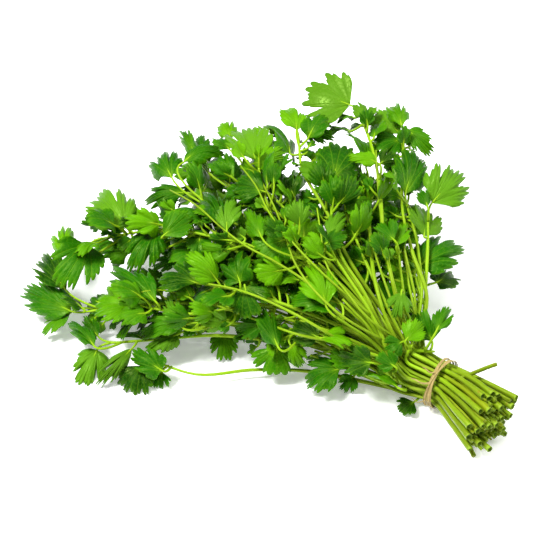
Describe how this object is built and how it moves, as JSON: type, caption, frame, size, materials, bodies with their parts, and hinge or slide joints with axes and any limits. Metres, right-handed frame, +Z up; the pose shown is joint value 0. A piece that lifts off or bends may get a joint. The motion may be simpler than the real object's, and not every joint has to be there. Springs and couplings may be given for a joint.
{
  "type": "coriander bunch",
  "caption": "bunch of fresh coriander lying on its side: leafy green stems fanned out from a raffia tie near their cut ends",
  "frame": {"origin": "bottom centre of the whole bunch's box, on the surface it lies on", "axes": "+X along the bunch toward the cut ends, with the leaves toward -X; +Y away from the side seen in the picture; +Z up from the surface"},
  "size_m": [0.3266, 0.258, 0.1029],
  "materials": {
    "leafy_stem": "fresh green leaf and stem, waxy sheen",
    "raffia": "dry natural raffia fibre, matte"
  },
  "bodies": {
    "root": {"leafy_stem_01": "leafy_stem", "leafy_stem_02": "leafy_stem", "leafy_stem_03": "leafy_stem", "leafy_stem_04": "leafy_stem", "leafy_stem_05": "leafy_stem", "leafy_stem_06": "leafy_stem", "leafy_stem_07": "leafy_stem", "leafy_stem_08": "leafy_stem", "leafy_stem_09": "leafy_stem", "leafy_stem_10": "leafy_stem", "leafy_stem_11": "leafy_stem", "leafy_stem_12": "leafy_stem", "leafy_stem_13": "leafy_stem", "leafy_stem_14": "leafy_stem", "leafy_stem_15": "leafy_stem", "leafy_stem_16": "leafy_stem", "leafy_stem_17": "leafy_stem", "leafy_stem_18": "leafy_stem", "leafy_stem_19": "leafy_stem", "leafy_stem_20": "leafy_stem", "leafy_stem_21": "leafy_stem", "leafy_stem_22": "leafy_stem", "leafy_stem_23": "leafy_stem", "leafy_stem_24": "leafy_stem", "leafy_stem_25": "leafy_stem", "leafy_stem_26": "leafy_stem", "leafy_stem_27": "leafy_stem", "leafy_stem_28": "leafy_stem", "leafy_stem_29": "leafy_stem", "leafy_stem_30": "leafy_stem", "leafy_stem_31": "leafy_stem", "leafy_stem_32": "leafy_stem", "leafy_stem_33": "leafy_stem", "leafy_stem_34": "leafy_stem", "leafy_stem_35": "leafy_stem", "leafy_stem_36": "leafy_stem", "leafy_stem_37": "leafy_stem", "leafy_stem_38": "leafy_stem", "leafy_stem_39": "leafy_stem", "leafy_stem_40": "leafy_stem", "leafy_stem_41": "leafy_stem", "leafy_stem_42": "leafy_stem", "leafy_stem_43": "leafy_stem", "leafy_stem_44": "leafy_stem", "leafy_stem_45": "leafy_stem", "leafy_stem_46": "leafy_stem", "raffia_tie": "raffia"}
  },
  "joints": []
}
